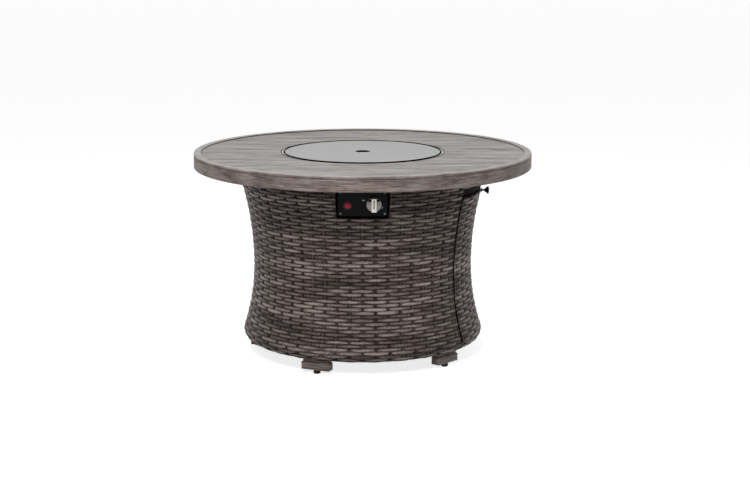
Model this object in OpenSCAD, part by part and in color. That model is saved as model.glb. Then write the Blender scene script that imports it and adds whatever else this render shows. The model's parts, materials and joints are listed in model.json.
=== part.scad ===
// Round wicker fire pit table: aluminium top with a drop-in lid, flared wicker base on a welded frame,
// tilt-out access door, gas burner and control panel. Millimetres, +Z up, floor at z = 0, front at -Y.

/* [Table top] */
// Diameter of the table top
table_d = 1073; // [1000:1:1200]
// Height of the table top above the floor
table_h = 648; // [600:1:720]
// Radial width of the rim's flat top
rim_w = 24; // [18:1:36]
// Height of the rim
rim_h = 48; // [40:1:60]
// Rounding of the rim's edges
rim_round = 4; // [1:0.5:8]
// Depth of the panel below the rim's top
panel_recess = 4; // [2:0.5:8]
// Thickness of the panel
panel_t = 3; // [2:0.5:5]
// Width of the rim's inner ledge under the panel
ledge_w = 18; // [12:1:30]
// Thickness of the rim's inner ledge
ledge_t = 4; // [2:0.5:6]
// Number of bearers under the panel
bearer_count = 6; // [4:1:10]
// Width of a bearer
bearer_w = 30; // [24:1:40]
// Height of a bearer
bearer_h = 29; // [20:1:36]

/* [Lid] */
// Diameter of the lid
lid_d = 500; // [460:1:540]
// Thickness of the lid's sheet
lid_t = 2; // [1:0.5:3]
// Height of the lid's turned-down edge
lid_skirt = 12; // [9:1:20]
// Height of the lid's top above the panel
lid_proud = 1; // [0:0.5:3]
// Gap between the lid's edge and its seat
lid_gap = 3; // [1:0.5:6]
// Diameter of the finger cup in the lid
cup_d = 48; // [40:1:70]
// Depth of the finger cup
cup_depth = 6; // [4:1:9]
// Diameter of the finger hole
finger_d = 21; // [18:1:28]
// Width of the seat's visible edge
seat_edge = 6; // [4:0.5:10]
// Wall thickness of the seat
seat_t = 3; // [2:0.5:4]
// Clearance between the pan's wall and the seat
pan_clear = 1; // [0.5:0.5:3]
// Width of the seat's flange under the panel
seat_flange = 28; // [20:1:40]

/* [Burner] */
// Depth of the burner pan
pan_depth = 54; // [45:1:60]
// Sheet thickness of the burner pan
pan_t = 1.5; // [1:0.5:3]
// Width of the pan's resting flange
pan_flange = 20; // [14:1:24]
// Slope of the pan's wall from top to bottom
pan_slope = 12; // [4:1:25]
// Number of drain holes in the pan
drain_count = 6; // [3:1:12]
// Diameter of a drain hole
drain_d = 8; // [5:1:12]
// Diameter of the ring burner
burner_d = 300; // [240:1:340]
// Diameter of the burner's tube
burner_tube_d = 14; // [10:1:18]
// Diameter of the burner's hub
hub_d = 32; // [26:1:44]
// Diameter of the feed nipple
feed_d = 16; // [12:1:20]
// Distance across the lock nut's flats
nut_flats = 28; // [24:1:36]
// Diameter of the air mixer
mixer_d = 24; // [20:1:30]
// Height of the air mixer
mixer_h = 34; // [28:1:44]
// Outer diameter of the gas tube
gas_tube_d = 10; // [8:1:12]
// Outer diameter of the electrode and thermocouple leads
lead_d = 4; // [3:0.5:5]

/* [Base] */
// Radius of the waist
waist_r = 350; // [330:1:370]
// Height of the skin's lower edge above the floor
skin_z0 = 44.5; // [38:0.5:52]
// Radius of the flare's curve above the waist
upper_curve = 960; // [850:1:1300]
// Radius of the flare's curve below the waist
lower_curve = 660; // [600:1:800]
// Distance that the foot roll stands out beyond the waist
roll_out = 34.5; // [28:0.5:42]
// Rounding of the foot roll
roll_round = 30; // [27:0.5:34]
// Thickness of the wicker skin
skin_t = 5; // [4:0.5:6]
// Height of a row of the weave
row_pitch = 11.2; // [9:0.1:16]
// Depth of the grooves between the rows
row_depth = 2; // [1:0.1:2.5]
// Distance from the foot roll's middle in to where the skin ends underneath
lip_in = 1.5; // [0.5:0.5:4]
// Distance from the foot roll's middle out to where the door ends underneath
door_lip_out = 2.5; // [1:0.5:5]
// Clearance between the skin and the frame inside it
skin_clear = 0.4; // [0.3:0.1:1]
// Number of curved ribs, with one on each side of the door
rib_count = 9; // [7:2:11]
// Width of a rib
rib_w = 25; // [20:1:30]
// Depth of a rib
rib_depth = 18; // [14:1:20]
// Height of the frame's rings
ring_h = 27; // [22:1:32]
// Radial width of the frame's rings
ring_w = 27; // [22:1:32]
// Gap between the base ring and the skin's end underneath
ring_gap = 8; // [5:0.5:12]

/* [Tank tray] */
// Sheet thickness of the tray
tray_t = 2; // [1.5:0.5:3]
// Width of the tray's flange on the base ring
tray_flange = 10; // [6:1:14]
// Depth of the tray's well
well_depth = 20; // [14:1:24]
// Diameter of the tank collar's inside
collar_d = 206; // [200:1:220]
// Height of the tank collar
collar_h = 24; // [16:1:34]
// Number of vent slots in the tray
vent_count = 8; // [4:1:12]

/* [Door] */
// Half of the angle that the door opening takes
door_half = 36; // [30:0.5:38]
// Height of the upper ring above the door opening's top
door_drop = 47; // [36:1:75]
// Gap round the door
door_gap = 6; // [2:0.5:8]
// Depth of the door's frame
door_depth = 15; // [12:1:18]
// Width of the door frame's stiles and rails
stile_w = 24; // [18:1:32]
// Height of the header over the door
header_h = 24; // [18:1:32]
// Distance from the base ring's outside in to the door's pivot
pivot_in = 7; // [5:0.5:9]
// Drop of the door's pivot below the foot roll's middle
pivot_drop = 14.5; // [12:0.5:16]
// Distance from the middle of the door to a pivot ear
ear_y = 105; // [90:1:120]
// Thickness of a pivot ear
ear_t = 5; // [4:0.5:8]
// Diameter of the pivot pins
pin_d = 7; // [6:0.5:8]
// Clearance round a pivot pin in its ear
pin_clear = 0.3; // [0.2:0.1:0.5]
// Diameter of the pull knob's disc
pull_d = 27; // [20:1:36]
// Reach of the pull knob from the door
pull_reach = 26; // [20:1:34]
// Diameter of the pull knob's neck
neck_d = 6; // [5:0.5:9]
// Width of a magnetic catch
catch_w = 40; // [30:1:60]
// Distance from the middle of the door to a magnetic catch
catch_y = 80; // [60:1:110]

/* [Control panel] */
// Width of the control panel
face_w = 148; // [130:1:170]
// Height of the control panel
face_h = 80; // [70:1:90]
// Distance from the skin's outside at the upper ring in to the panel's front
face_in = 8.5; // [2:0.5:14]
// Thickness of the panel's face
face_t = 3; // [2:0.5:4]
// Depth of the box behind the face
box_depth = 62; // [56:1:76]
// Sheet thickness of the box
box_t = 2; // [1.5:0.5:3]
// Place of the control knob to the right of the middle
knob_x = 34; // [26:1:44]
// Height of the control knob above the panel's lower edge
knob_up = 36; // [32:1:44]
// Diameter of the control knob
knob_d = 45; // [36:1:52]
// Width of the knob's grip bar
grip_w = 17; // [12:1:22]
// Travel of the control knob when pushed
knob_travel = 4; // [3:0.5:5]
// Diameter of the valve's spindle
spindle_d = 8; // [6:0.5:9]
// Diameter of the valve's plug
plug_d = 14; // [12:0.5:18]
// Clearance of the turning and sliding fits
run_clear = 0.05; // [0.03:0.01:0.08]
// Place of the igniter button to the left of the middle
button_x = 45; // [36:1:52]
// Height of the igniter button above the panel's lower edge
button_up = 33; // [28:1:44]
// Diameter of the igniter button
button_d = 17; // [14:0.5:20]
// Clearance round the igniter button
button_clear = 0.3; // [0.2:0.1:0.5]
// Travel of the igniter button
button_travel = 4.5; // [3:0.5:6]
// Diameter of the panel's screw heads
screw_d = 7; // [5:0.5:9]

/* [Feet] */
// Number of feet
foot_count = 5; // [4:1:6]
// Direction of the first foot, turned from the front towards the right
first_foot = -24; // [-40:1:-10]
// Width of a foot block
foot_w = 94; // [80:1:110]
// Radial depth of a foot block
foot_depth = 30; // [24:1:36]
// Distance from the foot roll's outside in to a foot's outer face
foot_in = 24.5; // [18:0.5:32]
// Diameter of a glide
glide_d = 22; // [18:1:26]
// Height of a glide
glide_h = 12.5; // [8:0.5:18]
// Diameter of a glide's stud
stud_d = 8; // [6:1:10]
// Length of a glide's stud
stud_h = 22; // [16:1:26]

/* [Hidden] */
$fn = 96;
arc_steps = 360;
reach = table_d;
panel_z1 = table_h - panel_recess;
panel_z0 = panel_z1 - panel_t;
rim_in = table_d / 2 - rim_w;
fit_gap = 0.1;
bolt_d = 8;
bolt_flats = 13;
bolt_head = 5.3;
bearer_wall = 3;
bearer_gap = 2;
base_top = panel_z0 - bearer_h;
ring_z0 = base_top - ring_h;
roll_r = waist_r + roll_out;
roll_cr = roll_r - roll_round;
roll_z = skin_z0 + roll_round;
join_run = lower_curve + waist_r - roll_cr;
join_span = lower_curve + roll_round;
waist_z = roll_z + sqrt(join_span * join_span - join_run * join_run);
join_rise = (waist_z - roll_z) / join_span;
join_angle = asin(join_rise);
roll_len = roll_round * (join_angle + 90) * PI / 180;
lower_len = lower_curve * join_angle * PI / 180;
upper_len = upper_curve * asin((base_top - waist_z) / upper_curve) * PI / 180;
skin_len = roll_len + lower_len + upper_len;
row_count = floor(skin_len / row_pitch);
row_h = skin_len / row_count;
row_slope = 0.25;
lip_r = roll_cr - lip_in;
door_lip_r = roll_cr + door_lip_out;
base_ring_r = lip_r - ring_gap;
foot_gap = 0.6;
foot_top = skin_z0 - foot_gap;
base_ring_top = foot_top + ring_h;
well_gap = 4;
well_r = base_ring_r - ring_w - well_gap;
well_z = base_ring_top - well_depth;
flange_r = base_ring_r - ring_w + tray_flange;
lid_r = lid_d / 2;
lid_z1 = panel_z1 + lid_proud;
seat_z = lid_z1 - lid_skirt;
seat_in = lid_r + lid_gap;
open_r = seat_in + seat_edge;
pan_in = 2.5;
pan_r = lid_r - lid_t - pan_in;
pan_z0 = seat_z - pan_depth;
pan_top_r = pan_r - pan_flange;
pan_low_r = pan_top_r - pan_slope;
burner_lift = 4;
burner_z = pan_z0 + pan_t + burner_tube_d / 2 + burner_lift;
burner_r = burner_d / 2 - burner_tube_d / 2;
port_count = 24;
port_d = 2.4;
mixer_drop = 12;
mixer_z1 = pan_z0 - mixer_drop;
elbow_wall = 2.5;
elbow_d = gas_tube_d + 2 * elbow_wall;
elbow_z = mixer_z1 - mixer_h - elbow_d / 2;
elbow_reach = 36;
probe_d = 6;
probe_drop = 14;
probe_flange_d = 10;
probe_flange_h = 4;
electrode_place = [-52, -46];
couple_place = [-30, -52];
lead_run = 20;
lead_rise = 24;
gap_angle = door_gap / waist_r * 180 / PI;
jamb_gap = 1;
jamb_angle = door_half + (rib_w / 2 + jamb_gap) / waist_r * 180 / PI;
stile_gap = 4.2;
door_frame_half = door_half - gap_angle - stile_gap / waist_r * 180 / PI;
door_top = ring_z0 - door_drop;
door_skin_top = door_top - door_gap;
frame_inset = skin_t + skin_clear;
rib_gap = 0.3;
rib_inset = skin_t + skin_clear + rib_gap;
rib_foot_h = 14;
face_reach = outline_r(ring_z0, 0) - face_in;
box_z0 = ring_z0 - face_h;
box_side = 4;
knob_z = box_z0 + knob_up;
button_z = box_z0 + button_up;
valve_w = 34;
valve_set = 6;
valve_front = -face_t - valve_set;
valve_len = 44;
valve_nose = 14;
plug_wall = 8;
plug_floor = 4.5;
plug_back = valve_front - valve_len + plug_wall;
plug_gap = 0.5;
spindle_back = plug_back + plug_gap + plug_floor + 1 + knob_travel;
knob_back = knob_travel + 1;
knob_disc = 6;
knob_bevel = 1.5;
grip_h = 13;
grip_arc = 60;
shaft_in = 4;
pull_z = door_top - door_gap - stile_w / 2;
bezel_t = 3;
bezel_w = 2.5;
bezel_edge = 1;
igniter_len = 50;
button_deep = 11;
button_bevel = 1.5;
barrel_wall = 2.2;
barrel_r = button_d / 2 + button_clear + barrel_wall;
pivot_x = base_ring_r - pivot_in;
pivot_z = roll_z - pivot_drop;
foot_step = 360 / foot_count;
foot_reach = roll_r - foot_in;
foot_mid = foot_reach - foot_depth / 2;
foot_cap = 7;
foot_round = 3;
collar_t = 3;
catch_set = 16;
catch_x = outline_r(door_top - stile_w, frame_inset + door_depth) - catch_set;
catch_gap = 0.2;
catch_block = 14;
bolt_r = outline_r(ring_z0, frame_inset) - ring_w / 2;
door_rise = 6;
lug_t = 5;
lug_gap = 1;
ear_wall = 4;

// Radius of the base's outline at a height, set in from the skin's outer face
function outline_r(z, inset) =
    z >= waist_z ? waist_r + upper_curve - sqrt(pow(upper_curve + inset, 2) - pow(z - waist_z, 2)) :
    waist_r + lower_curve - sqrt(pow(lower_curve + inset, 2) - pow(z - waist_z, 2));

// Point of the flare at a distance along it from the foot roll's lowest point, set in from the outer face
function flare_point(run, inset) =
    run < roll_len ?
        let (a = run / roll_round * 180 / PI - 90)
        [roll_cr, roll_z] + (roll_round - inset) * [cos(a), sin(a)] :
    run < roll_len + lower_len ?
        let (a = join_angle - (run - roll_len) / lower_curve * 180 / PI)
        [waist_r + lower_curve, waist_z] - (lower_curve + inset) * [cos(a), sin(a)] :
        let (a = (run - roll_len - lower_len) / upper_curve * 180 / PI)
        [waist_r + upper_curve, waist_z] + (upper_curve + inset) * [-cos(a), sin(a)];

// Half section of the flared base, set in from the skin's outer face
module outline(inset) {
    round_in = roll_round - inset;
    join_z = roll_z + round_in * join_rise;
    difference() {
        translate([0, join_z]) square([reach, table_h]);
        intersection() {
            translate([waist_r + upper_curve, waist_z]) circle(r = upper_curve + inset, $fn = arc_steps);
            translate([0, waist_z]) square([reach, reach]);
        }
        intersection() {
            translate([waist_r + lower_curve, waist_z]) circle(r = lower_curve + inset, $fn = arc_steps);
            square([reach, waist_z]);
        }
    }
    translate([roll_cr, roll_z]) circle(r = round_in);
    translate([0, roll_z - round_in]) square([roll_cr, join_z - roll_z + round_in]);
}

// Half section of a wall that follows the flare between two insets and two heights
module wall_section(inset, depth, z0, z1) {
    intersection() {
        difference() {
            outline(inset);
            outline(inset + depth);
        }
        translate([0, z0]) square([reach, z1 - z0]);
    }
}

// Outer edge of a row of the weave: a groove, then a rib
function row_edge(i) = [
    flare_point(i * row_h, row_depth),
    flare_point((i + row_slope) * row_h, 0),
    flare_point((i + 1 - row_slope) * row_h, 0)
];

// Half section of the base with the rows of its weave, one row past the top
module woven_outline() {
    edge = [for (i = [0 : row_count]) each row_edge(i)];
    polygon(concat([[0, edge[0][1]]], edge, [[0, edge[len(edge) - 1][1]]]));
}

// Half section of the wicker skin up to a height, with its foot roll turned under as far as a radius
module skin_section(end_r, z1) {
    difference() {
        intersection() {
            woven_outline();
            square([reach, z1]);
        }
        outline(skin_t);
        square([end_r, roll_z]);
    }
}

// Sector of a revolved section, centred on the door
module sector(half_angle) {
    rotate([0, 0, -half_angle]) rotate_extrude(angle = 2 * half_angle) children();
}

// Plain sector block between two heights, used to cut windows and openings
module sector_block(half_angle, z0, z1) {
    sector(half_angle) translate([waist_r / 2, z0]) square([waist_r, z1 - z0]);
}

// Flat ring
module ring(r_in, r_out, z0, z1) {
    translate([0, 0, z0]) difference() {
        cylinder(r = r_out, h = z1 - z0);
        translate([0, 0, -1]) cylinder(r = r_in, h = z1 - z0 + 2);
    }
}

// Hexagonal prism across flats
module hex(flats, h) {
    cylinder(d = flats / cos(30), h = h, $fn = 6);
}

// Rectangle with round corners, centred
module round_rect(w, h, r) {
    square([w - 2 * r, h], center = true);
    square([w, h - 2 * r], center = true);
    for (x = [-1, 1], y = [-1, 1])
        translate([x * (w / 2 - r), y * (h / 2 - r)]) circle(r = r, $fn = 32);
}

// Local frame on the control panel: Z out of the front, Y up
module on_face(x, z) {
    translate([x, -face_reach, z]) rotate([90, 0, 0]) children();
}

// Local frame at a foot: X outward, Z up
module at_foot(i) {
    rotate([0, 0, first_foot - 90 + (i - 1) * foot_step]) children();
}

// Directions of the bearers, with the control panel midway between two of them
function bearer_angle(i) = 270 + (i + 0.5) * 360 / bearer_count;

// Directions of the ribs, from one door jamb round the back to the other
function rib_angle(i) = jamb_angle + i * (360 - 2 * jamb_angle) / (rib_count - 1);

// Smooth point on a route through its own points
function between(a, b, c, d, t) =
    0.5 * (2 * b + (c - a) * t + (2 * a - 5 * b + 4 * c - d) * t * t + (3 * b - a - 3 * c + d) * t * t * t);
function route_point(pts, i, t) =
    between(pts[max(i - 1, 0)], pts[i], pts[i + 1], pts[min(i + 2, len(pts) - 1)], t);
function unit(v) = v / norm(v);

// Round tube swept along a smooth route, square to it at both ends
module tube_along(pts, d, sides, steps) {
    line = concat(
        [for (i = [0 : len(pts) - 2], k = [0 : steps - 1]) route_point(pts, i, k / steps)],
        [pts[len(pts) - 1]]
    );
    last = len(line) - 1;
    aside = [1, 0.11, 0.07];
    points = [for (i = [0 : last])
        let (way = i == 0 ? pts[1] - pts[0] :
             i == last ? pts[len(pts) - 1] - pts[len(pts) - 2] : line[i + 1] - line[i - 1],
             along = unit(way), side = unit(cross(aside, along)), up = cross(along, side))
        for (k = [0 : sides - 1])
            line[i] + d / 2 * (cos(k * 360 / sides) * side + sin(k * 360 / sides) * up)];
    walls = [for (i = [0 : last - 1], k = [0 : sides - 1])
        let (a = i * sides + k, b = i * sides + (k + 1) % sides)
        each [[a, a + sides, b], [b, a + sides, b + sides]]];
    caps = [[for (k = [0 : sides - 1]) k], [for (k = [sides - 1 : -1 : 0]) last * sides + k]];
    polyhedron(points = points, faces = concat(walls, caps));
}

module table_rim() {
    color("#796e6a") rotate_extrude($fn = 180) {
        translate([table_d / 2 - rim_w / 2, table_h - rim_h / 2]) round_rect(rim_w, rim_h, rim_round);
        translate([rim_in - ledge_w, panel_z0 - ledge_t]) square([ledge_w + rim_round, ledge_t]);
    }
}

module table_panel() {
    color("#a29e9b") ring(open_r, rim_in, panel_z0, panel_z1);
}

module top_bearers() {
    inner = open_r + seat_flange + bearer_gap;
    outer = rim_in - ledge_w - bearer_gap;
    color("#4a4543") for (i = [0 : bearer_count - 1])
        rotate([0, 0, bearer_angle(i)])
            difference() {
                translate([inner, -bearer_w / 2, base_top]) cube([outer - inner, bearer_w, bearer_h]);
                translate([inner - 1, bearer_wall - bearer_w / 2, base_top + bearer_wall])
                    cube([outer - inner + 2, bearer_w - 2 * bearer_wall, bearer_h - 2 * bearer_wall]);
                translate([bolt_r, 0, base_top - 1]) cylinder(d = bolt_d + 2 * fit_gap, h = bearer_wall + 2);
            }
}

// Bolts sunk into the upper ring from below, with nuts inside the bearers
module top_bolts() {
    nut_h = 6.5;
    bolt_end = 2;
    color("#8c8c8c") for (i = [0 : bearer_count - 1])
        rotate([0, 0, bearer_angle(i)]) translate([bolt_r, 0, ring_z0]) {
            hex(bolt_flats, bolt_head);
            cylinder(d = bolt_d, h = ring_h + bearer_wall + nut_h + bolt_end);
            translate([0, 0, ring_h + bearer_wall]) hex(bolt_flats, nut_h);
        }
}

module lid_seat() {
    color("#8f8f8f") rotate_extrude($fn = 180) {
        translate([pan_top_r + pan_clear, seat_z - seat_t])
            square([seat_in + seat_t - pan_top_r - pan_clear, seat_t]);
        translate([seat_in, seat_z - seat_t]) square([seat_t, panel_z1 - seat_z + seat_t]);
        translate([seat_in, panel_z0]) square([seat_edge - fit_gap, panel_t]);
        translate([seat_in, panel_z0 - seat_t]) square([seat_edge + seat_flange, seat_t]);
    }
}

module lid() {
    wall = lid_t;
    color("#b3b3b3") rotate_extrude($fn = 180) difference() {
        union() {
            translate([finger_d / 2, lid_z1 - wall]) square([lid_r - finger_d / 2 - 2 * wall, wall]);
            translate([lid_r - 2 * wall, lid_z1 - 2 * wall]) circle(r = 2 * wall, $fn = 48);
            translate([lid_r - wall, seat_z]) square([wall, lid_skirt - 2 * wall]);
            translate([finger_d / 2, lid_z1 - cup_depth])
                square([cup_d / 2 + wall - finger_d / 2, cup_depth]);
        }
        translate([0, lid_z1 - cup_depth + wall]) square([cup_d / 2, cup_depth]);
        translate([lid_r - 2 * wall, lid_z1 - 2 * wall]) circle(r = wall, $fn = 48);
        translate([lid_r - 5 * wall, seat_z - 1]) square([4 * wall, lid_skirt - 2 * wall + 1]);
        translate([lid_r - 5 * wall, lid_z1 - 3 * wall]) square([3 * wall, 2 * wall]);
    }
}

module burner_pan() {
    t = pan_t;
    z1 = seat_z + t;
    color("#9a9a9a") difference() {
        rotate_extrude($fn = 180) {
            translate([pan_top_r - t, seat_z]) square([pan_flange + t, t]);
            polygon([[pan_top_r, z1], [pan_top_r - t, z1], [pan_low_r - t, pan_z0], [pan_low_r, pan_z0]]);
            translate([0, pan_z0]) square([pan_low_r, t]);
        }
        translate([0, 0, pan_z0 - 1]) cylinder(d = feed_d + 2 * fit_gap, h = pan_t + 2);
        for (i = [0 : drain_count - 1])
            rotate([0, 0, (i + 0.5) * 360 / drain_count])
                translate([pan_low_r - 2 * drain_d, 0, pan_z0 - 1]) cylinder(d = drain_d, h = pan_t + 2);
        for (p = [electrode_place, couple_place])
            translate([p.x, p.y, pan_z0 - 1]) cylinder(d = probe_d + 2 * fit_gap, h = pan_t + 2);
    }
}

// Ring tube on a cross tube and hub, with rows of gas ports on top and a threaded feed below
module burner_ring() {
    color("#a8a8a8") difference() {
        union() {
            translate([0, 0, burner_z]) rotate_extrude($fn = 120)
                translate([burner_r, 0]) circle(d = burner_tube_d, $fn = 32);
            translate([-burner_r, 0, burner_z]) rotate([0, 90, 0])
                cylinder(d = burner_tube_d - 1, h = 2 * burner_r, $fn = 32);
            translate([0, 0, pan_z0 + pan_t])
                cylinder(d = hub_d, h = burner_z - pan_z0 - pan_t + burner_tube_d / 2);
            translate([0, 0, mixer_z1]) cylinder(d = feed_d, h = pan_z0 + pan_t - mixer_z1 + 1);
        }
        for (i = [0 : port_count - 1])
            rotate([0, 0, (i + 0.5) * 360 / port_count]) translate([burner_r, 0, burner_z])
                cylinder(d = port_d, h = burner_tube_d, $fn = 16);
    }
}

module burner_nut() {
    nut_h = 8;
    color("#b08d57") translate([0, 0, pan_z0 - nut_h]) difference() {
        hex(nut_flats, nut_h);
        translate([0, 0, -1]) cylinder(d = feed_d + 2 * fit_gap, h = nut_h + 2);
    }
}

// Venturi barrel with air windows, and the elbow that takes the gas tube
module air_mixer() {
    window_w = 8;
    window_h = 14;
    jet_d = 9;
    color("#b08d57") difference() {
        union() {
            translate([0, 0, mixer_z1 - mixer_h]) cylinder(d = mixer_d, h = mixer_h);
            translate([0, 0, elbow_z - elbow_d / 2]) cylinder(d = elbow_d, h = elbow_d);
            translate([0, 0, elbow_z]) rotate([90, 0, 0]) cylinder(d = elbow_d, h = elbow_reach);
        }
        for (a = [0, 90])
            rotate([0, 0, a])
                translate([-mixer_d, -window_w / 2, mixer_z1 - mixer_h / 2 - window_h / 2])
                    cube([2 * mixer_d, window_w, window_h]);
    }
    color("#b08d57") translate([0, 0, mixer_z1 - mixer_h]) cylinder(d = jet_d, h = mixer_h);
}

module gas_tube() {
    start = [knob_x, -face_reach - valve_front + valve_len + valve_nose, knob_z];
    stop = [0, -elbow_reach, elbow_z];
    lead = [0, lead_rise, 0];
    color("#c2a05a") tube_along(
        [start, start + lead, (2 * start + stop) / 3 + lead / 3,
         (start + 2 * stop) / 3 - lead / 3, stop - lead, stop],
        gas_tube_d, 12, 6);
}

// Rod that stands through the pan's floor, with a flange that rests on it
module probe(place, rod_h) {
    translate([place.x, place.y, pan_z0 - probe_drop]) {
        cylinder(d = probe_d, h = rod_h, $fn = 32);
        translate([0, 0, probe_drop + pan_t]) cylinder(d = probe_flange_d, h = probe_flange_h, $fn = 32);
        translate([0, 0, rod_h]) children();
    }
}

module spark_electrode() {
    color("#e8e4da") probe(electrode_place, 40) cylinder(d = 2, h = 8, $fn = 24);
}

module thermocouple() {
    color("#b8864b") probe(couple_place, 36) sphere(d = probe_d, $fn = 32);
}

// Slotted sheet that keeps the fire media off the electrode and thermocouple
module flame_shield() {
    w = 64;
    h = 36;
    deep = 18;
    t = 1.5;
    slot_count = 5;
    slot_w = 5;
    slot_pitch = 11;
    edge = 8;
    middle = (electrode_place.x + couple_place.x) / 2;
    color("#8a8a8a") translate([middle, electrode_place.y - 2, pan_z0 + pan_t])
        difference() {
            translate([-w / 2, -deep, 0]) cube([w, 2 * deep, h]);
            translate([-w / 2 + t, t - deep, -1]) cube([w - 2 * t, 2 * deep, h - t + 1]);
            for (i = [0 : slot_count - 1])
                translate([(i - (slot_count - 1) / 2) * slot_pitch - slot_w / 2, -deep - 1, edge])
                    cube([slot_w, t + 2, h - 2 * edge]);
        }
}

// Lead that leaves the controls level, sags and rises to a probe
module lead_to(place, start, sag) {
    stop = [place.x, place.y, pan_z0 - probe_drop];
    run = [0, lead_run, 0];
    rise = [0, 0, lead_rise];
    tube_along([start, start + run, (start + stop) / 2 - [0, 0, sag], stop - rise, stop], lead_d, 8, 8);
}

module igniter_lead() {
    color("#2a2a2a") lead_to(electrode_place, [-button_x, -face_reach + igniter_len, button_z], lead_run);
}

module thermocouple_lead() {
    plug_up = 8;
    start = [knob_x - valve_w / 2 + lead_d, -face_reach - valve_front + valve_len, knob_z + plug_up];
    color("#a5713c") lead_to(couple_place, start, probe_drop);
}

module upper_ring() {
    color("#4a4543") difference() {
        ring(bolt_r - ring_w / 2, bolt_r + ring_w / 2, ring_z0, base_top);
        for (i = [0 : bearer_count - 1])
            rotate([0, 0, bearer_angle(i)]) translate([bolt_r, 0, ring_z0 - 1]) {
                cylinder(d = bolt_d + 2 * fit_gap, h = ring_h + 2);
                cylinder(d = bolt_flats / cos(30) + 1, h = bolt_head + 1);
            }
    }
}

module base_ring() {
    color("#4a4543") ring(base_ring_r - ring_w, base_ring_r, foot_top, base_ring_top);
}

// Flat bars bent to the flare, each with a foot on the base ring outside the tray's flange
module frame_ribs() {
    foot_z1 = base_ring_top + rib_foot_h;
    color("#4a4543") for (i = [0 : rib_count - 1])
        rotate([0, 0, rib_angle(i)]) rotate([90, 0, 0])
            linear_extrude(height = rib_w, center = true) difference() {
                intersection() {
                    outline(rib_inset);
                    translate([0, base_ring_top]) square([reach, ring_z0 - base_ring_top]);
                }
                difference() {
                    outline(rib_inset + rib_depth);
                    square([reach, foot_z1]);
                }
                square([flange_r + rib_gap, foot_z1 + rib_foot_h]);
            }
}

module door_header() {
    half = jamb_angle - (rib_w / 2 + jamb_gap / 2) / waist_r * 180 / PI;
    color("#4a4543") sector(half) wall_section(rib_inset, rib_depth, door_top, door_top + header_h);
}

module wicker_body() {
    color("#50494a") difference() {
        rotate_extrude($fn = 180) skin_section(lip_r, base_top);
        sector_block(door_half, 0, door_top);
        translate([-face_w / 2 - 1, -face_reach - box_depth, box_z0 - 1])
            cube([face_w + 2, 2 * box_depth, face_h + 2]);
    }
}

// Pressed tray: flange on the base ring, sunk well with vent slots
module tank_tray() {
    collar_out = collar_d / 2 + collar_t;
    vent_w = 12;
    vent_in = collar_out + (well_r - collar_out) * 0.18;
    vent_out = collar_out + (well_r - collar_out) * 0.62;
    color("#5a5a5a") difference() {
        rotate_extrude($fn = 120) {
            translate([well_r - tray_t, base_ring_top]) square([flange_r - well_r + tray_t, tray_t]);
            translate([well_r - tray_t, well_z]) square([tray_t, well_depth + tray_t]);
            translate([0, well_z]) square([well_r, tray_t]);
        }
        for (i = [0 : vent_count - 1])
            rotate([0, 0, (i + 0.5) * 360 / vent_count])
                translate([vent_in, -vent_w / 2, well_z - 1]) cube([vent_out - vent_in, vent_w, tray_t + 2]);
    }
}

module tank_collar() {
    z0 = well_z + tray_t;
    color("#6a6a6a") ring(collar_d / 2, collar_d / 2 + collar_t, z0, z0 + collar_h);
}

// Foot block with a stepped cap under the base and a bore for its glide
module foot(i) {
    h = foot_top - glide_h;
    color("#574e4d") at_foot(i) difference() {
        union() {
            translate([foot_mid, 0, glide_h]) linear_extrude(height = h - foot_cap)
                round_rect(foot_depth, foot_w, foot_round);
            translate([foot_mid - 1, 0, foot_top - foot_cap]) linear_extrude(height = foot_cap)
                round_rect(foot_depth - 2, foot_w - 4, foot_round);
        }
        translate([foot_mid, 0, glide_h - 1]) cylinder(d = stud_d + 2 * run_clear, h = stud_h + 3);
    }
}

module glide(i) {
    bevel = 2;
    disc_h = 8;
    flats = 13;
    color("#1c1c1c") at_foot(i) translate([foot_mid, 0, 0]) {
        cylinder(d1 = glide_d - 1.5 * bevel, d2 = glide_d, h = bevel);
        translate([0, 0, bevel]) cylinder(d = glide_d, h = disc_h - bevel);
        translate([0, 0, disc_h]) hex(flats, glide_h - disc_h);
        cylinder(d = stud_d, h = glide_h + stud_h);
    }
}

// Channel that hangs from the upper ring behind the face, open below and at the back
module panel_box() {
    w = face_w - 2 * box_side;
    h = face_h - box_side;
    depth = box_depth - face_t;
    color("#1d1c21") translate([-w / 2, -face_reach + face_t, box_z0 + box_side]) difference() {
        cube([w, depth, h]);
        translate([box_t, -1, -1]) cube([w - 2 * box_t, depth + 2, h - box_t + 1]);
    }
}

module panel_face() {
    corner = 4;
    hole_gap = 3;
    color("#1d1c21") difference() {
        on_face(0, box_z0 + face_h / 2) translate([0, 0, -face_t])
            linear_extrude(height = face_t) round_rect(face_w, face_h, corner);
        on_face(knob_x, knob_z) translate([0, 0, -face_t - 1])
            cylinder(d = spindle_d + hole_gap, h = face_t + 2);
        on_face(-button_x, button_z) translate([0, 0, -face_t - 1])
            cylinder(r = barrel_r + fit_gap, h = face_t + 2);
    }
}

module panel_screws() {
    inset = 8;
    head_h = 2;
    slot_w = 1;
    color("#3a3a3e") for (x = [-1, 1], z = [inset, face_h - inset])
        on_face(x * (face_w / 2 - inset), box_z0 + z) difference() {
            cylinder(d1 = screw_d, d2 = screw_d - head_h, h = head_h, $fn = 32);
            for (a = [0, 90])
                rotate([0, 0, a]) translate([-screw_d / 4, -slot_w / 2, head_h / 2])
                    cube([screw_d / 2, slot_w, head_h]);
        }
}

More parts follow.
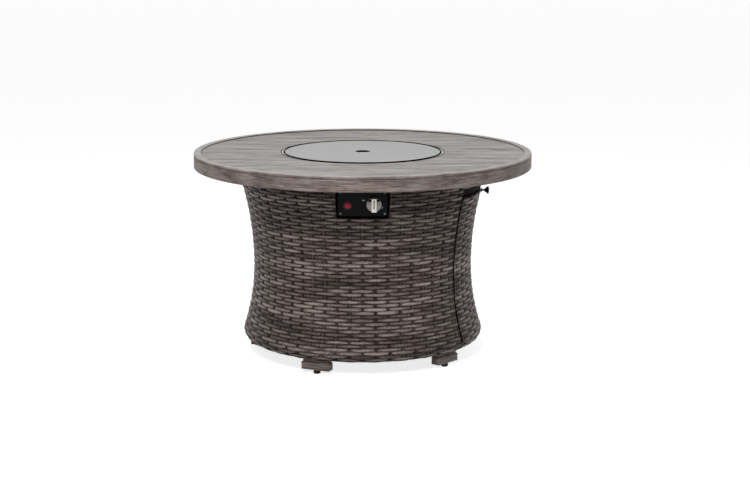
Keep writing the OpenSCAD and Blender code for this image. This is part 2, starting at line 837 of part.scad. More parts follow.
module valve_body() {
    color("#b9a26a") on_face(knob_x, knob_z) difference() {
        union() {
            translate([-valve_w / 2, -valve_w / 2, valve_front - valve_len])
                cube([valve_w, valve_w, valve_len]);
            translate([0, 0, valve_front - 1]) cylinder(d = plug_d + plug_wall, h = valve_set + 1);
            translate([0, 0, valve_front - valve_len - valve_nose])
                cylinder(d = elbow_d + 1, h = valve_nose + 1);
        }
        translate([0, 0, plug_back]) cylinder(d = plug_d + 2 * run_clear, h = valve_len);
    }
}

// Flare fitting that takes the gas supply, pointing down into the tank bay
module inlet_fitting() {
    flats = 19;
    hex_h = 10;
    thread_d = 15.9;
    thread_h = 16;
    inlet_y = -face_reach - valve_front + valve_len * 0.7;
    color("#c2a05a") translate([knob_x, inlet_y, knob_z - valve_w / 2]) {
        translate([0, 0, -hex_h]) hex(flats, hex_h);
        translate([0, 0, -hex_h - thread_h]) cylinder(d = thread_d, h = thread_h);
    }
}

// Shaft with one flat side
module d_shaft(d, h) {
    intersection() {
        cylinder(d = d, h = h, $fn = 48);
        translate([-d / 2, -d, -1]) cube([0.8 * d, 2 * d, h + 2]);
    }
}

module valve_plug() {
    color("#9a8450") on_face(knob_x, knob_z) difference() {
        translate([0, 0, plug_back + plug_gap])
            cylinder(d = plug_d, h = -face_t - 1 - plug_back - plug_gap);
        translate([0, 0, plug_back + plug_gap + plug_floor]) d_shaft(spindle_d + 2 * run_clear, valve_len);
    }
}

module valve_spindle() {
    color("#a0a0a0") on_face(knob_x, knob_z) translate([0, 0, spindle_back])
        d_shaft(spindle_d, knob_back + knob_disc + shaft_in - spindle_back);
}

// Disc with a raised grip bar and a blind hole for the spindle
module control_knob() {
    color("#a39d98") on_face(knob_x, knob_z) difference() {
        union() {
            translate([0, 0, knob_back]) cylinder(d = knob_d, h = knob_disc - knob_bevel);
            translate([0, 0, knob_back + knob_disc - knob_bevel])
                cylinder(d1 = knob_d, d2 = knob_d - 2 * knob_bevel, h = knob_bevel);
            intersection() {
                translate([0, 0, knob_back]) linear_extrude(height = knob_disc + grip_h)
                    round_rect(grip_w, knob_d - 1, grip_w / 4);
                translate([0, 0, knob_back + knob_disc + grip_h - grip_arc]) rotate([0, 90, 0])
                    cylinder(r = grip_arc, h = knob_d, center = true, $fn = arc_steps);
            }
        }
        translate([0, 0, knob_back - 1]) d_shaft(spindle_d + 2 * run_clear, knob_disc + shaft_in + 1.5);
    }
}

module igniter_body() {
    color("#26252a") on_face(-button_x, button_z) difference() {
        union() {
            cylinder(r = barrel_r + bezel_w, h = bezel_t - bezel_edge);
            translate([0, 0, bezel_t - bezel_edge])
                cylinder(r1 = barrel_r + bezel_w, r2 = barrel_r + bezel_w - bezel_edge, h = bezel_edge);
            translate([0, 0, -igniter_len]) cylinder(r = barrel_r, h = igniter_len + 1);
        }
        translate([0, 0, -button_deep - button_travel - 1])
            cylinder(d = button_d + 2 * button_clear, h = igniter_len);
    }
}

module igniter_nut() {
    nut_h = 5;
    nut_wall = 3.5;
    color("#2c2c2c") on_face(-button_x, button_z) translate([0, 0, -face_t - nut_h]) difference() {
        hex(2 * (barrel_r + nut_wall), nut_h);
        translate([0, 0, -1]) cylinder(r = barrel_r + fit_gap, h = nut_h + 2);
    }
}

module igniter_button() {
    top = bezel_t + button_travel + 1;
    color("#9c1d2c") on_face(-button_x, button_z) {
        translate([0, 0, -button_deep]) cylinder(d = button_d, h = button_deep + top - button_bevel);
        translate([0, 0, top - button_bevel])
            cylinder(d1 = button_d, d2 = button_d - 2 * button_bevel, h = button_bevel);
    }
}

module wicker_door() {
    color("#50494a") difference() {
        sector(door_half - gap_angle) skin_section(door_lip_r, door_skin_top);
        translate([0, 0, pull_z]) rotate([0, 90, 0]) cylinder(d = neck_d + 2 * fit_gap, h = reach);
    }
}

// Bent frame with two stiles and three rails, woven over on its outside
module door_frame() {
    rail = stile_w;
    z0 = base_ring_top + door_rise;
    mid = (z0 + door_skin_top) / 2;
    stile_angle = stile_w / waist_r * 180 / PI;
    color("#4a4543") difference() {
        sector(door_frame_half) wall_section(frame_inset, door_depth, z0, door_skin_top);
        sector_block(door_frame_half - stile_angle, z0 + rail, mid - rail / 2);
        sector_block(door_frame_half - stile_angle, mid + rail / 2, door_skin_top - rail);
        translate([0, 0, pull_z]) rotate([0, 90, 0]) cylinder(d = neck_d + 2 * fit_gap, h = reach);
    }
}

// Trumpet pull on a stem through the door's top rail, with a nut inside
module door_knob() {
    rose_d = neck_d + 8;
    rose_t = 2.5;
    nut_flats = neck_d + 5;
    nut_h = 5;
    stem_end = 2;
    dome = 4;
    face = outline_r(pull_z + rose_d / 2, 0);
    inside = outline_r(pull_z - nut_flats / cos(30) / 2, frame_inset + door_depth) - fit_gap;
    color("#161616") translate([0, 0, pull_z]) rotate([0, 90, 0]) {
        translate([0, 0, inside - nut_h - stem_end])
            cylinder(d = neck_d, h = face + pull_reach / 2 - inside + nut_h + stem_end, $fn = 48);
        translate([0, 0, face]) cylinder(d = rose_d, h = rose_t, $fn = 48);
        translate([0, 0, face + pull_reach / 3])
            cylinder(d1 = neck_d, d2 = pull_d, h = pull_reach * 2 / 3 - dome + fit_gap);
        translate([0, 0, face + pull_reach - dome]) intersection() {
            cylinder(d = pull_d, h = dome);
            translate([0, 0, dome - pull_d]) sphere(r = pull_d, $fn = 96);
        }
        translate([0, 0, inside - nut_h]) difference() {
            hex(nut_flats, nut_h);
            translate([0, 0, -1]) cylinder(d = neck_d - fit_gap, h = nut_h + 2, $fn = 48);
        }
    }
}

// Pins that carry the door, each on a lug below the bottom rail
module door_pins() {
    z1 = base_ring_top + door_rise;
    lug_y = ear_y - ear_t / 2 - lug_gap - lug_t / 2;
    boss = pin_d + 3;
    arm_h = 9;
    pin_end = 2;
    seat_r = roll_r - frame_inset - door_depth / 2;
    arm_x = sqrt(seat_r * seat_r - lug_y * lug_y);
    color("#777777") for (s = [-1, 1]) {
        translate([pivot_x, s * lug_y, pivot_z]) rotate([-90 * s, 0, 0])
            cylinder(d = pin_d, h = lug_t / 2 + lug_gap + ear_t + pin_end, $fn = 48);
        translate([0, s * lug_y, 0]) rotate([90, 0, 0]) linear_extrude(height = lug_t, center = true) {
            translate([pivot_x, pivot_z]) circle(d = boss, $fn = 48);
            translate([pivot_x - boss / 2, pivot_z]) square([boss, z1 - pivot_z]);
            translate([pivot_x - boss / 2, z1 - arm_h]) square([arm_x - pivot_x + boss / 2, arm_h]);
        }
    }
}

// Open ears on the base ring, so that the pins drop in from above
module door_ears() {
    foot_x = sqrt(base_ring_r * base_ring_r - pow(ear_y - ear_t / 2, 2));
    slot = pin_d + 2 * pin_clear;
    tip_x = pivot_x + slot / 2 + ear_wall;
    color("#4a4543") for (s = [-1, 1])
        translate([0, s * ear_y, 0]) rotate([90, 0, 0]) linear_extrude(height = ear_t, center = true)
            difference() {
                translate([foot_x, pivot_z - slot / 2 - ear_wall])
                    square([tip_x - foot_x, slot + 2 * ear_wall]);
                translate([pivot_x, pivot_z]) circle(d = slot, $fn = 48);
                translate([pivot_x - slot / 2, pivot_z]) square([slot, slot + 2 * ear_wall]);
            }
}

// Catch blocks hung from the header, each with a flat face towards the door
module door_magnets() {
    color("#3a3a3a") for (s = [-1, 1]) {
        translate([catch_x - catch_block, s * catch_y - catch_w / 2, door_top - stile_w])
            cube([catch_block, catch_w, stile_w + header_h]);
        intersection() {
            translate([catch_x - 1, s * catch_y - catch_w / 2, door_top]) cube([reach, catch_w, header_h]);
            rotate_extrude() outline(rib_inset + rib_depth + fit_gap);
        }
    }
}

// Steel strikes on the inside of the door's top rail
module door_strikes() {
    edge = 2;
    color("#909090") for (s = [-1, 1])
        intersection() {
            translate([catch_x + catch_gap, s * catch_y - catch_w / 2, door_skin_top - stile_w + edge])
                cube([reach, catch_w, stile_w - 2 * edge]);
            rotate_extrude() outline(frame_inset + door_depth + fit_gap);
        }
}

table_rim();
table_panel();
top_bearers();
top_bolts();
lid_seat();
lid();
burner_pan();
burner_ring();
burner_nut();
air_mixer();
gas_tube();
spark_electrode();
thermocouple();
flame_shield();
igniter_lead();
thermocouple_lead();
upper_ring();
base_ring();
frame_ribs();
door_header();
wicker_body();
tank_tray();
tank_collar();
for (i = [1 : foot_count]) {
    foot(i);
    glide(i);
}
panel_box();
panel_face();
panel_screws();
valve_body();
inlet_fitting();
valve_plug();
valve_spindle();
control_knob();
igniter_body();
igniter_nut();
igniter_button();
wicker_door();
door_frame();
door_knob();
door_pins();
door_ears();
door_magnets();
door_strikes();
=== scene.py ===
"""Looks of a round wicker fire pit table: woven base and door, wood-grain metal top, lid and controls."""
import json
import math

import bpy
import numpy as np
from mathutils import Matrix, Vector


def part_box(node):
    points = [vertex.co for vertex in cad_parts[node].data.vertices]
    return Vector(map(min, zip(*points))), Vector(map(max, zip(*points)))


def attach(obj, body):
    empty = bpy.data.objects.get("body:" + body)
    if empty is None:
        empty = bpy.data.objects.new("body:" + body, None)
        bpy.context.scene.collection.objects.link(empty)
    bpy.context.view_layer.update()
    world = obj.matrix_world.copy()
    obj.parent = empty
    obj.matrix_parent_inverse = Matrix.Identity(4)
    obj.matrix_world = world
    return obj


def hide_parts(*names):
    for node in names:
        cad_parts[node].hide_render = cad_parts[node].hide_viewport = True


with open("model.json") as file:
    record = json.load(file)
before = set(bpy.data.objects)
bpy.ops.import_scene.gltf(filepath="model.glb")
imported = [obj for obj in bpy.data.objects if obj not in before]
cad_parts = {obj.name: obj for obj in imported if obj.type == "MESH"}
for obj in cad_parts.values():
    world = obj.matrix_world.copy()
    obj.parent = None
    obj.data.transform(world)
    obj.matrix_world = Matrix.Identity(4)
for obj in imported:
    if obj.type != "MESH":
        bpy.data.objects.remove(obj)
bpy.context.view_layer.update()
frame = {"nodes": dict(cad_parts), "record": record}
MM = 0.001
FULL_TURN = 2 * math.pi

# Directions about the table's axis: the door faces along X, and the control panel faces the camera
FRONT = 1.5 * math.pi

# Camera, fitted to the table's real width and height: metres, radians and pixels
CAMERA_BACK = 5.551
CAMERA_UP = 1.445
CAMERA_PITCH = 0.1993
LENS_PX = 1757
IMAGE_W = 750
AXIS_PX = 362.6
MIDDLE_PX = 375
SENSOR = 36.0

# Lamps: name, place, point that it faces, side of its square in metres, and watts
LAMPS = (
    ("key", (-0.5, -3.3, 2.9), (0, 0, 0.4), 1.0, 88),
    ("fill", (3.0, -1.2, 1.6), (0, 0, 0.3), 1.6, 6),
    ("top", (0, 0.6, 3.4), (0, 0, 0.4), 2.4, 10),
    ("back_left", (-2.4, 2.6, 1.6), (0, 0, 0.3), 1.8, 15),
    ("back_right", (2.4, 2.6, 1.6), (0, 0, 0.3), 1.8, 15),
)

# White surroundings: their share that lights the object, floor's size, colour and glow, rays that see white
AMBIENT = 0.14
FLOOR_SIZE = 40
FLOOR_GREY = (0.7, 0.7, 0.7, 1)
FLOOR_GLOW = 0.8
WHITE = (1, 1, 1, 1)
BLACK = (0, 0, 0, 1)
LOOKED_AT = ("Is Camera Ray", "Is Glossy Ray", "Is Transmission Ray")

# Flare of the base, as in the solids: foot roll, lower curve and upper curve
SKIN_Z0 = 44.5 * MM
WAIST_R = 350 * MM
UPPER_CURVE = 960 * MM
LOWER_CURVE = 660 * MM
ROLL_OUT = 34.5 * MM
ROLL_ROUND = 30 * MM
ROLL_CR = WAIST_R + ROLL_OUT - ROLL_ROUND
ROLL_Z = SKIN_Z0 + ROLL_ROUND
JOIN_SPAN = LOWER_CURVE + ROLL_ROUND
JOIN_RUN = LOWER_CURVE + WAIST_R - ROLL_CR
JOIN_ANGLE = math.acos(JOIN_RUN / JOIN_SPAN)
WAIST_Z = ROLL_Z + JOIN_SPAN * math.sin(JOIN_ANGLE)
BASE_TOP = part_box("wicker_body")[1][2]

# Lengths along the flare, from the lip at the foot upwards
ROLL_LEN = ROLL_ROUND * (JOIN_ANGLE + math.pi / 2)
LOWER_LEN = LOWER_CURVE * JOIN_ANGLE
UPPER_LEN = UPPER_CURVE * math.asin((BASE_TOP - WAIST_Z) / UPPER_CURVE)
FLARE_LEN = ROLL_LEN + LOWER_LEN + UPPER_LEN

# Door: half of its opening, gap round it, start of its stakes above the lip, band of painted shade above it
# where rows are left out over the dark backing, and turn that a stake of the body keeps from it
DOOR_HALF = math.radians(36)
DOOR_GAP = 6 * MM
DOOR_FOOT = 4 * MM
DOOR_SHADE = 20 * MM
DOOR_CLEAR = 0.01

# Margins of the opening round the control panel, left open to the dark backing as the panel's painted
# shadow: left, right and below
PANEL_SHADOW_LEFT = 7 * MM
PANEL_SHADOW_RIGHT = 8 * MM
PANEL_SHADOW_BELOW = 10 * MM

# Section of a strand: places across it in half widths, and heights in parts of its arch or its underside
SECTION = [(-1, 0), (-0.78, 0.62), (-0.4, 0.93), (0, 1), (0.4, 0.93), (0.78, 0.62), (1, 0), (0, -1)]
STRAND_ARCH = 2.6 * MM
STRAND_UNDER = 0.6 * MM

# Values kept at a strand's points for its material, shade among them being painted shade, and range of the
# number that tells strands apart
STRAND_VALUES = ("along", "across", "shade", "seed")
SEED_RANGE = 100

# Rows: a strand dips behind every other stake, bows out between two dips and is pinched at them. Its drift
# and width vary by chance, and its rings of points keep a small turn from both of its ends.
ROW_PITCH = 11.2 * MM
STRAND_W = 12 * MM
STRAND_SET = 0.2 * MM
WAVE = 2.6 * MM
DIP = 8.5 * MM
FLOAT_BOW = 2 * MM
PINCH = 0.05
DRIFT = 0.25 * MM
WIDTH_SPREAD = 0.06
END_CLEAR = 0.004

# Places between two dips of a row, in parts of the way, where a strand has a ring of points
DIP_PLACES = [0, 0.055, 0.11, 0.18, 0.3, 0.5, 0.7, 0.82, 0.89, 0.945]

# Stakes, edges along the door, border strand along the foot, and distance of the door's rows from its top
STAKES = 56
STAKE_STEP = FULL_TURN / STAKES
STAKE_W = 9 * MM
STAKE_DEEP = STRAND_ARCH + WAVE
STAKE_RINGS = 14 * MM
EDGE_W = 4 * MM
EDGE_DEEP = STRAND_ARCH
GAP_MARGIN = 2.7 * MM
BORDER_W = 14 * MM
BORDER_RUN = 7 * MM
BORDER_DEEP = 5 * MM
DOOR_END = ROW_PITCH / 3

# Seeds of chance for the two weaves
BODY_DICE = 7
DOOR_DICE = 11

# Backing behind the weave, painted dark as shade: depths below the surface, start of the door's, and steps
# round and along it
BODY_BACKING = 11 * MM
DOOR_BACKING = 8 * MM
BACKING_THICK = 1 * MM
BACKING_FOOT = 6 * MM
TURN_STEP = 0.05
RUN_STEP = 20 * MM

# Rim's rounded edge, dark line below it, painted shade in the crevice along the panel, and radius that the
# grain runs round
RIM_ROUND = 4 * MM
RIM_LINE = 5 * MM
RIM_LINE_HALF = 3 * MM
RIM_LINE_DARK = 0.75
CREVICE_SHADE = 2.5 * MM
GRAIN_R = 540 * MM

# Width over which a painted edge fades
EDGE_FADE = 1 * MM

# Lid: dark bead round its edge as painted shade of its gap, finger cup with a light bead as painted
# highlight on its lip and a black liner as painted shade, and dark line round its seat as painted shade
LID_BEAD = 2.3 * MM
LID_BEAD_IN = 0.6 * MM
LID_BEAD_SINK = 0.4 * MM
CUP_R = 24 * MM
CUP_SHADE = 0.5 * MM
CUP_FLOOR = 3.6 * MM
CUP_BEAD = 1.2 * MM
CUP_BEAD_SINK = 0.9 * MM
FINGER_R = 10.5 * MM
LINER = 0.5 * MM
SEAT_R = 259 * MM
SEAT_BEAD = 1.4 * MM
BEAD_STEPS = 256
BEAD_SIDES = 12
MERGE = 0.01 * MM

# Control knob: plate, dome, grip bar and pointer, whose length is in parts of the knob's radius
KNOB_PLATE = 3 * MM
KNOB_RISE = 7 * MM
KNOB_EDGE = 1 * MM
KNOB_SINK = 0.2 * MM
BAR_W = 16 * MM
BAR_CLEAR = 1 * MM
BAR_ROUND = 2.5 * MM
POINTER_W = 3 * MM
POINTER_T = 0.8 * MM
POINTER_LEN = 1.2
POINTER_UP = 2 * MM
POINTER_ROUND = 0.3 * MM

# Marks beside the knob: name, direction in degrees, distance from the knob, width and height
MARKS = (("panel_tick", 159, 11 * MM, 9 * MM, 3 * MM),
         ("panel_dot", -21, 4 * MM, 3.4 * MM, 5 * MM))
MARK_T = 0.4 * MM
MARK_OUT = 0.1 * MM
MARK_ROUND = 0.15 * MM
BUTTON_ROUND = 2.2 * MM

# Foot blocks: front face from the axis, size, stepped cap and direction of the first one
FOOT_COUNT = 5
FIRST_FOOT = math.radians(-114)
FOOT_REACH = 360 * MM
FOOT_DEPTH = 30 * MM
FOOT_WIDTH = 94 * MM
FOOT_ROUND = 2 * MM
CAP_H = 7 * MM
CAP_LEDGE = 4 * MM
CAP_ROUND = 1.5 * MM

# Fineness of round pieces and bevels, and angles from which an edge is bevelled or shaded as sharp
ROUND_SIDES = 96
DOME_RINGS = 192
BEVEL_STEPS = 3
BEVEL_FROM = math.radians(40)
SHARP_FROM = math.radians(35)


def srgb(red, green, blue):
    """Linear colour from the 0 to 255 values that a picture shows."""
    def linear(value):
        value = value / 255
        return value / 12.92 if value <= 0.04045 else ((value + 0.055) / 1.055) ** 2.4
    return (linear(red), linear(green), linear(blue), 1)


class Signal:
    """A node's output, with operators that add the nodes of shader maths."""

    # Sockets of a Mix node of colours, by number, because their names repeat
    MIX_FACTOR, MIX_LOW, MIX_HIGH, MIX_RESULT = 0, 6, 7, 2

    def __init__(self, tree, out=None):
        self.tree = tree
        self.out = out

    def node(self, kind, settings=None, inputs=None, output=0):
        """Adds a node of any kind: its settings first, then the values or links of its sockets."""
        new = self.tree.nodes.new("ShaderNode" + kind)
        for name, value in (settings or {}).items():
            if name == "stops":
                self.fill_ramp(new.color_ramp, value)
            else:
                setattr(new, name, value)
        for name, value in (inputs or {}).items():
            self.feed(new.inputs[name], value)
        return Signal(self.tree, new.outputs[output])

    def also(self, output):
        """Another output of the same node."""
        return Signal(self.tree, self.out.node.outputs[output])

    def feed(self, socket, value):
        """Links a value to a socket, or sets it there if it is a plain one."""
        if isinstance(value, Signal):
            self.tree.links.new(value.out, socket)
        else:
            socket.default_value = value

    @staticmethod
    def fill_ramp(ramp, stops):
        """Sets a ramp's stops, each a place and a colour."""
        while len(ramp.elements) < len(stops):
            ramp.elements.new(1)
        for element, (place, colour) in zip(ramp.elements, stops):
            element.position = place
            element.color = colour

    def math(self, operation, first, second=0.0):
        """Adds a Math node for one or two values."""
        return self.node("Math", {"operation": operation}, {0: first, 1: second})

    def __add__(self, other):
        return self.math("ADD", self, other)

    def __radd__(self, other):
        return self.math("ADD", other, self)

    def __sub__(self, other):
        return self.math("SUBTRACT", self, other)

    def __rsub__(self, other):
        return self.math("SUBTRACT", other, self)

    def __mul__(self, other):
        return self.math("MULTIPLY", self, other)

    def __rmul__(self, other):
        return self.math("MULTIPLY", other, self)

    def __truediv__(self, other):
        return self.math("DIVIDE", self, other)

    def __pow__(self, other):
        return self.math("POWER", self, other)

    def limited(self):
        """This value, kept between 0 and 1."""
        return self.node("Clamp", inputs={0: self})

    def around(self, middle, spread):
        """A number that this value, from 0 to 1, moves to both sides of a middle one."""
        return (middle - spread) + (2 * spread) * self

    def ramp(self, *stops):
        """Colour of this value between stops, each a place and a colour."""
        return self.node("ValToRGB", {"stops": stops}, {0: self})

    def tones(self, spread, dark, middle, light):
        """Three colours: the middle one at a half, and the others a spread below and above it."""
        return self.ramp((0.5 - spread, dark), (0.5, middle), (0.5 + spread, light))

    def mix(self, low, high):
        """Colour between two colours, by this value."""
        inputs = {self.MIX_FACTOR: self, self.MIX_LOW: low, self.MIX_HIGH: high}
        return self.node("Mix", {"data_type": "RGBA"}, inputs, self.MIX_RESULT)

    def axes(self):
        """The three coordinates of a vector."""
        parts = self.node("SeparateXYZ", inputs={0: self})
        return [parts.also(axis) for axis in "XYZ"]

    def noise(self, scale, detail, roughness):
        """Noise over this vector, with a number of waves per metre."""
        inputs = {"Vector": self, "Scale": scale, "Detail": detail, "Roughness": roughness}
        return self.node("TexNoise", inputs=inputs)

    def noise_at(self, x, y, z, detail, roughness):
        """Noise at three values, each already multiplied by its own waves per metre."""
        return self.node("CombineXYZ", inputs={0: x, 1: y, 2: z}).noise(1, detail, roughness)

    def bump(self, strength, depth):
        """Normal of a surface whose height is this value."""
        return self.node("Bump", inputs={"Strength": strength, "Distance": depth, "Height": self})


def new_material(name, roughness=0.5, metallic=0.0, specular=0.5):
    """A material with its shader, and the object's own coordinates to paint on."""
    material = bpy.data.materials.new(name)
    material.use_nodes = True
    shader = material.node_tree.nodes["Principled BSDF"]
    shader.inputs["Roughness"].default_value = roughness
    shader.inputs["Metallic"].default_value = metallic
    shader.inputs["Specular IOR Level"].default_value = specular
    return material, shader, Signal(material.node_tree).node("TexCoord", output="Object")


def paint(shader, colour, roughness, normal):
    """Links what changes over a surface to the shader."""
    for socket, value in (("Base Color", colour), ("Roughness", roughness), ("Normal", normal)):
        value.feed(shader.inputs[socket], value)


def shades(colour, spread):
    """Darker and lighter neighbours of a colour."""
    return [tuple(min(1, part * share) for part in colour[:3]) + (1,) for share in (1 - spread, 1 + spread)]


def coated_metal(name, colour, roughness=0.45, spread=0.1, specular=0.25):
    """Powder coat: fine orange peel, slight mottling, duller and lighter in places."""
    material, shader, place = new_material(name, specular=specular)
    mottle = place.noise(scale=18, detail=4, roughness=0.6)
    peel = place.noise(scale=900, detail=2, roughness=0.5)
    dull = mottle.around(roughness, spread=0.08)
    paint(shader, mottle.mix(*shades(colour, spread)), dull, peel.bump(strength=0.25, depth=0.05 * MM))
    return material


def bare_metal(name, colour, roughness=0.3, stretch=(1, 1, 30), spread=0.08):
    """Brushed or drawn metal: fine lines along one direction."""
    material, shader, place = new_material(name, metallic=1.0)
    line_x, line_y, line_z = (axis * share for axis, share in zip(place.axes(), stretch))
    stretched = place.node("CombineXYZ", inputs={0: line_x, 1: line_y, 2: line_z})
    lines = stretched.noise(scale=40, detail=5, roughness=0.65)
    dull = lines.around(roughness, spread=0.1)
    paint(shader, lines.mix(*shades(colour, spread)), dull, lines.bump(strength=0.15, depth=0.05 * MM))
    return material


def moulded(name, colour, roughness=0.4, spread=0.12, specular=0.25):
    """Moulded plastic or rubber: a fine even texture."""
    material, shader, place = new_material(name, specular=specular)
    grain = place.noise(scale=700, detail=3, roughness=0.6)
    cloud = place.noise(scale=30, detail=3, roughness=0.5)
    dull = cloud.around(roughness, spread=0.06)
    paint(shader, cloud.mix(*shades(colour, spread)), dull, grain.bump(strength=0.2, depth=0.04 * MM))
    return material


def wicker_strands(name, dark, middle, light, specular):
    """Resin strand: its own tone, patches and lines along it, a painted highlight on its crest, and painted
    shade where it dips.
    """
    material, shader, place = new_material(name, specular=specular)
    along, across, shade, seed = (place.node("Attribute", {"attribute_name": value}, output="Fac")
                                  for value in STRAND_VALUES)
    x, y, z = place.axes()
    patch = place.noise_at(along * 7, seed * 17, seed * 5, detail=2, roughness=0.5)
    streak = place.noise_at(along * 30, across * 4, seed * 31, detail=4, roughness=0.65)
    line = place.noise_at(along * 24, across * 14, seed * 11, detail=3, roughness=0.7)
    band = place.noise_at(place.math("ARCTAN2", y, x) * 0.8, z * 24, 2.0, detail=1, roughness=0.5)
    grit = place.noise(scale=240, detail=3, roughness=0.7)
    own = place.node("TexWhiteNoise", {"noise_dimensions": "1D"}, {"W": seed})
    # Painted highlight along the strand's crest and painted shade towards its edges; the shade value
    # darkens its dips
    crest_highlight = (1 - across * across) ** 2
    mottle = patch * 0.7 + streak * 0.6 + line * 0.5 + grit * 0.6 + band * 0.35 + own * 0.2
    shift = 1.15
    tone = mottle + crest_highlight * 0.24 - shade * 0.12 - shift
    colour = tone.limited().tones(0.22, dark, middle, light)
    relief = (line + streak).bump(strength=0.6, depth=0.35 * MM)
    paint(shader, colour, line.around(0.49, spread=0.15), relief)
    return material


def grain_top(name):
    """Coated wood grain on the flat panel, running from left to right."""
    material, shader, place = new_material(name, specular=0.2)
    x, y, z = place.axes()
    wander = place.noise_at(x * 2.2, y * 5, 0.0, detail=2, roughness=0.5)
    rows = y + wander * (12 * MM)
    broad = place.noise_at(x * 3, rows * 26, 0.0, detail=3, roughness=0.6)
    fine = place.noise_at(x * 6, rows * 110, 3.0, detail=4, roughness=0.7)
    pores = place.noise_at(x * 22, rows * 420, 7.0, detail=2, roughness=0.6)
    shift = 0.54
    tone = broad * 0.6 + fine * 0.85 + pores * 0.65 - shift
    colour = tone.limited().tones(0.16, srgb(108, 99, 95), srgb(167, 161, 157), srgb(200, 196, 193))
    relief = (fine + pores).bump(strength=0.35, depth=0.25 * MM)
    paint(shader, colour, fine.around(0.52, spread=0.1), relief)
    return material


def grain_round(name):
    """The same wood grain bent round the rim, with painted light on its top and painted shade below it and
    in the crevice.
    """
    material, shader, place = new_material(name, specular=0.15)
    x, y, z = place.axes()
    turn = place.math("ARCTAN2", y, x) * GRAIN_R
    out = (x * x + y * y) ** 0.5
    wander = place.noise_at(turn * 2.2, out * 9, z * 9, detail=2, roughness=0.5)
    rows = wander * (2 * MM)
    broad = place.noise_at(turn * 12, (out + rows) * 40, (z + rows) * 40, detail=3, roughness=0.6)
    fine = place.noise_at(turn * 14, (out + rows) * 240, (z + rows) * 380, detail=4, roughness=0.7)
    shift = 0.275
    tone = (broad * 0.6 + fine * 0.95 - shift).limited()
    side = tone.tones(0.18, srgb(84, 72, 68), srgb(130, 118, 113), srgb(168, 156, 150))
    # Top of the rim lighter than its side: painted light
    lit_top_tones = tone.tones(0.18, srgb(160, 153, 149), srgb(194, 188, 184), srgb(212, 207, 203))
    bottom, top = (corner[2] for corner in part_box("table_rim"))
    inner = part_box("table_panel")[1][0]
    # Painted shade under the rim and in the crevice along the panel
    under_shade = ((bottom + EDGE_FADE - z) / EDGE_FADE).limited()
    lit_top = ((z - (top - RIM_ROUND)) / RIM_ROUND).limited()
    from_line = place.math("ABSOLUTE", z - (top - RIM_ROUND - RIM_LINE))
    line = (1 - from_line / RIM_LINE_HALF).limited()
    crevice_shade = ((out - inner) / CREVICE_SHADE).limited()
    shaded = (line * RIM_LINE_DARK).mix(side, srgb(58, 49, 46))
    above = crevice_shade.mix(srgb(58, 52, 49), lit_top.mix(shaded, lit_top_tones))
    colour = under_shade.mix(above, srgb(34, 29, 27))
    paint(shader, colour, fine.around(0.5, spread=0.1), fine.bump(strength=0.35, depth=0.25 * MM))
    return material


def lid_coat(name):
    """Satin grey sheet with faint lines from left to right, and painted shade inside the finger cup."""
    material, shader, place = new_material(name, specular=0.3)
    x, y, z = place.axes()
    lines = place.noise_at(x * 3, y * 90, 0.0, detail=4, roughness=0.6)
    cloud = place.noise(scale=5, detail=2, roughness=0.5)
    sheet = (lines * 0.5 + cloud * 0.5).ramp((0.3, srgb(173, 173, 173)), (0.7, srgb(193, 193, 193)))
    # Painted shade on the wall and floor of the finger cup
    below = ((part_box("lid")[1][2] - z) / CUP_SHADE).limited()
    near = ((CUP_R + EDGE_FADE - (x * x + y * y) ** 0.5) / EDGE_FADE).limited()
    colour = (below * near).mix(sheet, srgb(30, 29, 28))
    paint(shader, colour, lines.around(0.43, spread=0.07), lines.bump(strength=0.1, depth=0.05 * MM))
    return material


def grain_block(name):
    """Coated wood grain on the foot blocks, in level streaks."""
    material, shader, place = new_material(name, specular=0.2)
    x, y, z = place.axes()
    streak = place.noise_at(x * 14, y * 14, z * 320, detail=4, roughness=0.7)
    colour = streak.tones(0.16, srgb(60, 52, 49), srgb(116, 105, 101), srgb(164, 153, 148))
    paint(shader, colour, streak.around(0.52, spread=0.1), streak.bump(strength=0.3, depth=0.2 * MM))
    return material


